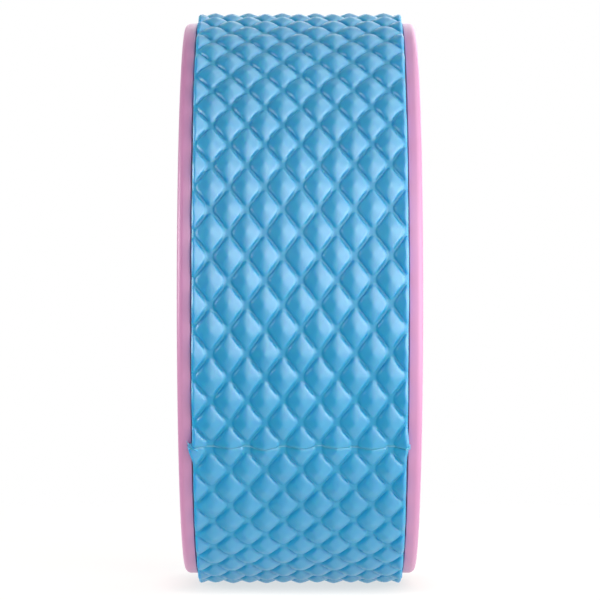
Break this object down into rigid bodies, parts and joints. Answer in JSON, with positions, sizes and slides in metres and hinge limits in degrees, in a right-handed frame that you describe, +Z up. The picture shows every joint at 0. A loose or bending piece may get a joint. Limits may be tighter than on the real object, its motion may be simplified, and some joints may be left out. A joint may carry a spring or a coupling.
{
  "type": "yoga wheel",
  "caption": "Wide yoga wheel: a rigid moulded hoop with raised side rims and a foam tread embossed with diamond pillows, open through the middle, for back stretches and balance.",
  "frame": {"origin": "centre of the wheel, on the axle line, midway between its two sides", "axes": "+Y along the axle line, to the right in the picture; +Z up, so that the wheel stands on its tread; +X towards the camera"},
  "size_m": [0.3299, 0.132, 0.3299],
  "materials": {
    "hoop": "satin moulded plastic, pink",
    "foam": "matte closed-cell foam, blue",
    "adhesive": "dry contact adhesive, pale",
    "seam": "dry glue line, pale blue"
  },
  "bodies": {
    "root": {"left_hoop_half": "hoop", "right_hoop_half": "hoop", "tread_adhesive": "adhesive", "tread_mat": "foam", "seam_glue": "seam"}
  },
  "joints": []
}
